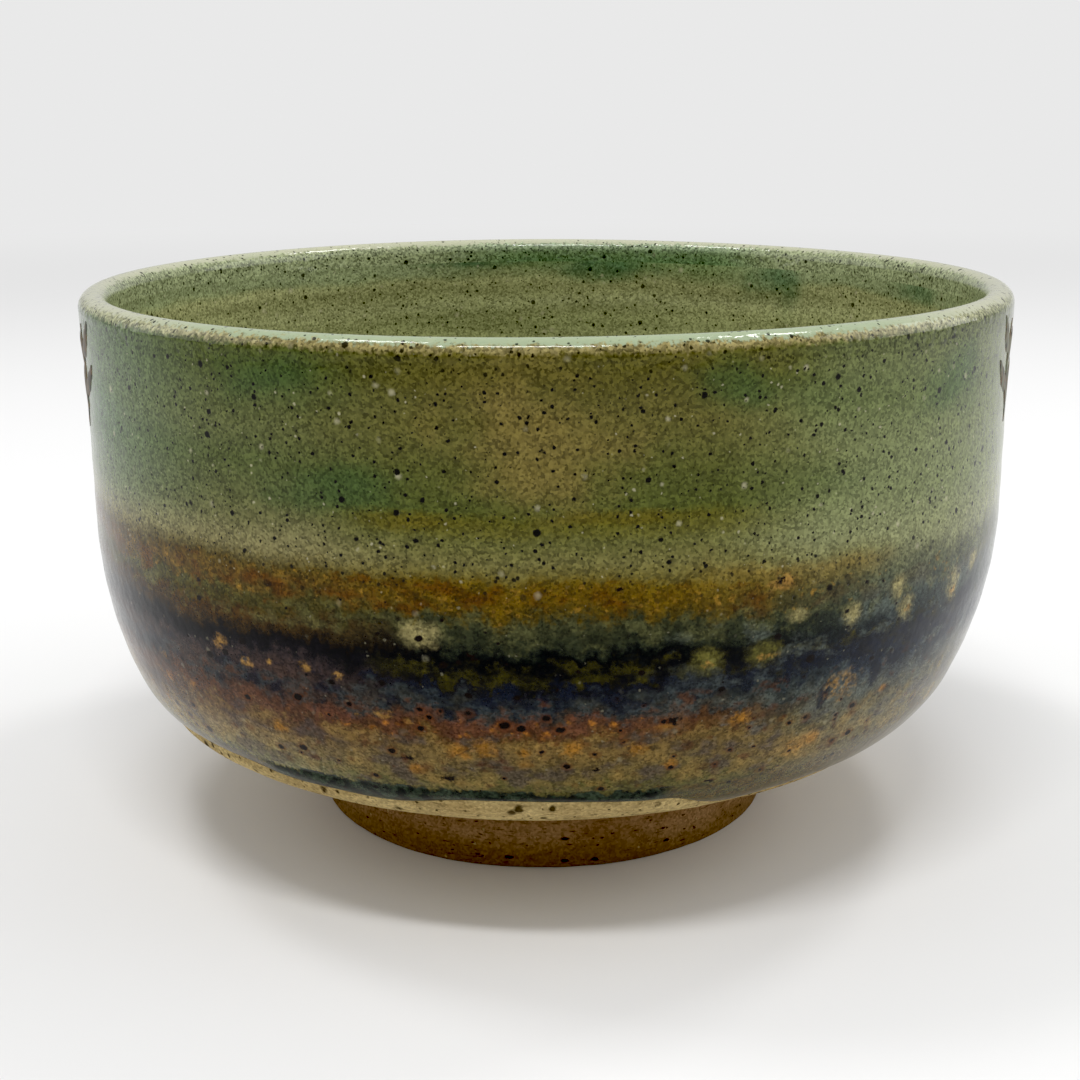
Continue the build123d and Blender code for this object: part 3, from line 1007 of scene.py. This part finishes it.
def clay_material(name, light, dark, streak, flat, share, shaded_base=None):
    """Bare grogged stoneware, with iron specks and drag marks that run round the pot.

    Streak is how dark the drag marks are, flat how tall a speck is for its width, and share
    how many specks there are. The base argument is a darker colour laid down at the resting
    face: painted shade, where the foot sits in shade close to the paper."""
    g = Shade(name)
    slow = g.noise((9, 9, 4), 29, detail=3, rough=0.6)
    colour = g.mix(g.fade(slow, -0.2, 0.2), dark, light)
    # Painted shade: the colour goes darker towards the resting face.
    if shaded_base is not None:
        colour = g.lay(colour, shaded_base, g.fade(g.sum(g.z, g.product(slow, 3)), 5, 0.6))
    drag = g.noise((2.4, 2.4, 0.3), 33, detail=3, rough=0.6)
    colour = g.lay(colour, paint(34, 20, 8), g.fade(drag, 0.08, 0.24, 0, streak))
    grain = g.grain(0.30)
    colour = g.tone(colour, grain, 1.1)
    pale = g.spots(1.3, 0.10, 0.30, 0.35, 57)
    colour = g.lay(colour, paint(186, 168, 120), pale, 0.5)
    small = g.spots(1.2, 0.16, 0.42, share, 39, flat=flat)
    large = g.spots(2.2, 0.30, 0.90, share, 45, flat=flat)
    colour = g.lay(colour, paint(34, 22, 12), g.math("MAXIMUM", small, large), 0.9)
    normal = g.bump(drag, 0.12, g.bump(grain, 0.16))
    return g.finish(colour, 0.85, normal, ior=CLAY_IOR)


def slip_material():
    """Iron slip under a veil of glaze, which is thicker at the right."""
    g = Shade("iron_slip")
    mottle = g.noise((0.8, 0.8, 1.4), 47, detail=3, rough=0.6)
    colour = g.mix(g.fade(mottle, -0.1, 0.1), paint(26, 20, 12), paint(96, 72, 42))
    veil = g.fade(g.noise((0.9, 0.9, 2), 49, detail=2), -0.10, 0.12)
    colour = g.lay(colour, paint(92, 100, 70), veil, g.fade(g.x, -10, 10, 0.25, 0.85))
    return g.finish(colour, 0.4, g.bump(mottle, 0.05), ior=GLAZE_IOR)


# ---- the bowl

def dress(piece, material, node):
    """Give a piece its material, and tell the frame which node it stands for."""
    piece.data.materials.append(material)
    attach(piece, "root")
    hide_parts(node)


slip = slip_material()
stoneware = clay_material(
    "bare_stoneware", paint(186, 166, 118), paint(162, 141, 97), streak=0.8, flat=2, share=0.95
)
# The foot's clay: a darker colour than the body's, and its base colour is painted shade.
foot_clay = clay_material(
    "darker_foot_clay", paint(151, 122, 90), paint(133, 104, 74), streak=0.9, flat=0.4, share=0.3,
    shaded_base=paint(119, 94, 61),
)

dress(clay_body(), stoneware, "bowl_body")
dress(foot(), foot_clay, "foot_ring")
dress(liner(), liner_material(), "inner_glaze")
dress(lip(), lip_material(), "rim_glaze")
upper_wall = outside_coat("celadon_coat", RIM_LINE, LAP_TOP)
dress(upper_wall, wall_material("celadon_over_clay", False), "outer_glaze")
lower_wall = outside_coat("iron_coat", LAP_TOP, ROLL_TOP)
dress(lower_wall, wall_material("iron_over_celadon", True), "lower_glaze")
dress(lower_edge(), edge_material(), "glaze_roll")
dress(sprig("sprig_left", -SPRIG_BEARING, True), slip, "left_sprig")
dress(sprig("sprig_right", SPRIG_BEARING, False), slip, "right_sprig")


# ---- studio

PAPER = 0.82          # how bright the far paper and the backdrop are
ROOM = 0.55           # how bright the room is, as the bowl sees it
PAPER_GREY = 0.80     # how much light the near paper gives back
BLACK_LEVEL = 0.024
EYE = (0.0, -0.220, 0.0947)           # the photographer's eye, in metres
LOOK_DOWN, LOOK_ASIDE, CAMERA_ROLL = 15.19, 0.246, -0.33


def add_floor():
    """A sheet of pale paper. Far from the bowl it glows as evenly as the backdrop does."""
    bpy.ops.mesh.primitive_grid_add(size=16.0, x_subdivisions=2, y_subdivisions=2)
    floor = bpy.context.object
    floor.name = "floor"
    g = Shade("paper")
    away = g.vector("LENGTH", g.place)
    shader = g.nodes.new("ShaderNodeBsdfDiffuse")
    shader.inputs["Color"].default_value = (PAPER_GREY, PAPER_GREY, PAPER_GREY, 1)
    glow = g.nodes.new("ShaderNodeEmission")
    glow.inputs["Color"].default_value = (PAPER, PAPER, PAPER, 1)
    blend = g.nodes.new("ShaderNodeMixShader")
    output = g.nodes.new("ShaderNodeOutputMaterial")
    g.wire(g.fade(away, 260.0, 1100.0), blend.inputs[0])
    g.links.new(shader.outputs[0], blend.inputs[1])
    g.links.new(glow.outputs[0], blend.inputs[2])
    g.links.new(blend.outputs[0], output.inputs["Surface"])
    floor.data.materials.append(g.material)


def add_panel(name, bearing_from_front, elevation, width, height, radiance):
    """A soft box a metre from the bowl, in that direction, of that size and brightness."""
    lamp = bpy.data.lights.new(name, "AREA")
    lamp.shape = "RECTANGLE"
    lamp.size, lamp.size_y = width * MM, height * MM
    lamp.energy = radiance * math.pi * lamp.size * lamp.size_y
    panel = bpy.data.objects.new(name, lamp)
    bpy.context.scene.collection.objects.link(panel)
    turn, rise = math.radians(bearing_from_front), math.radians(elevation)
    level = math.cos(rise)
    way = Vector((math.sin(turn) * level, -math.cos(turn) * level, math.sin(rise)))
    panel.location = way + Vector((0, 0, HEIGHT * MM))
    panel.rotation_euler = way.to_track_quat("Z", "Y").to_euler()


def add_camera():
    """At the photographer's eye: 220 mm in front of the axis, looking 15 degrees down."""
    data = bpy.data.cameras.new("camera")
    data.sensor_width = 36.0
    data.lens = 54.0
    data.clip_start = 0.01
    camera = bpy.data.objects.new("camera", data)
    bpy.context.scene.collection.objects.link(camera)
    camera.location = EYE
    facing = Euler((math.radians(90 - LOOK_DOWN), 0, math.radians(LOOK_ASIDE))).to_matrix()
    roll = Matrix.Rotation(math.radians(CAMERA_ROLL), 3, "Z")
    camera.rotation_euler = (facing @ roll).to_euler()
    bpy.context.scene.camera = camera


def add_world():
    """A dim, even room, with a backdrop as bright as the paper."""
    world = bpy.data.worlds.new("studio")
    world.use_nodes = True
    nodes, links = world.node_tree.nodes, world.node_tree.links
    background = nodes["Background"]
    background.inputs["Color"].default_value = (1, 1, 1, 1)
    seen = nodes.new("ShaderNodeLightPath").outputs["Is Camera Ray"]
    strength = nodes.new("ShaderNodeMapRange")
    strength.inputs["To Min"].default_value = ROOM
    strength.inputs["To Max"].default_value = PAPER
    links.new(seen, strength.inputs["Value"])
    links.new(strength.outputs[0], background.inputs["Strength"])
    bpy.context.scene.world = world


add_floor()
add_world()
add_camera()
add_panel("side_left", -96, 22, 800, 700, 1.2)
add_panel("side_right", 96, 22, 800, 700, 2.0)
add_panel("overhead_left", -108, 67, 160, 200, 18)
add_panel("overhead_middle", -8, 65, 440, 80, 36)
add_panel("overhead_right", 122, 60, 160, 180, 18)

view = bpy.context.scene.view_settings
view.view_transform = "Standard"
view.use_curve_mapping = True
view.curve_mapping.black_level = (BLACK_LEVEL, BLACK_LEVEL, BLACK_LEVEL)
view.curve_mapping.update()
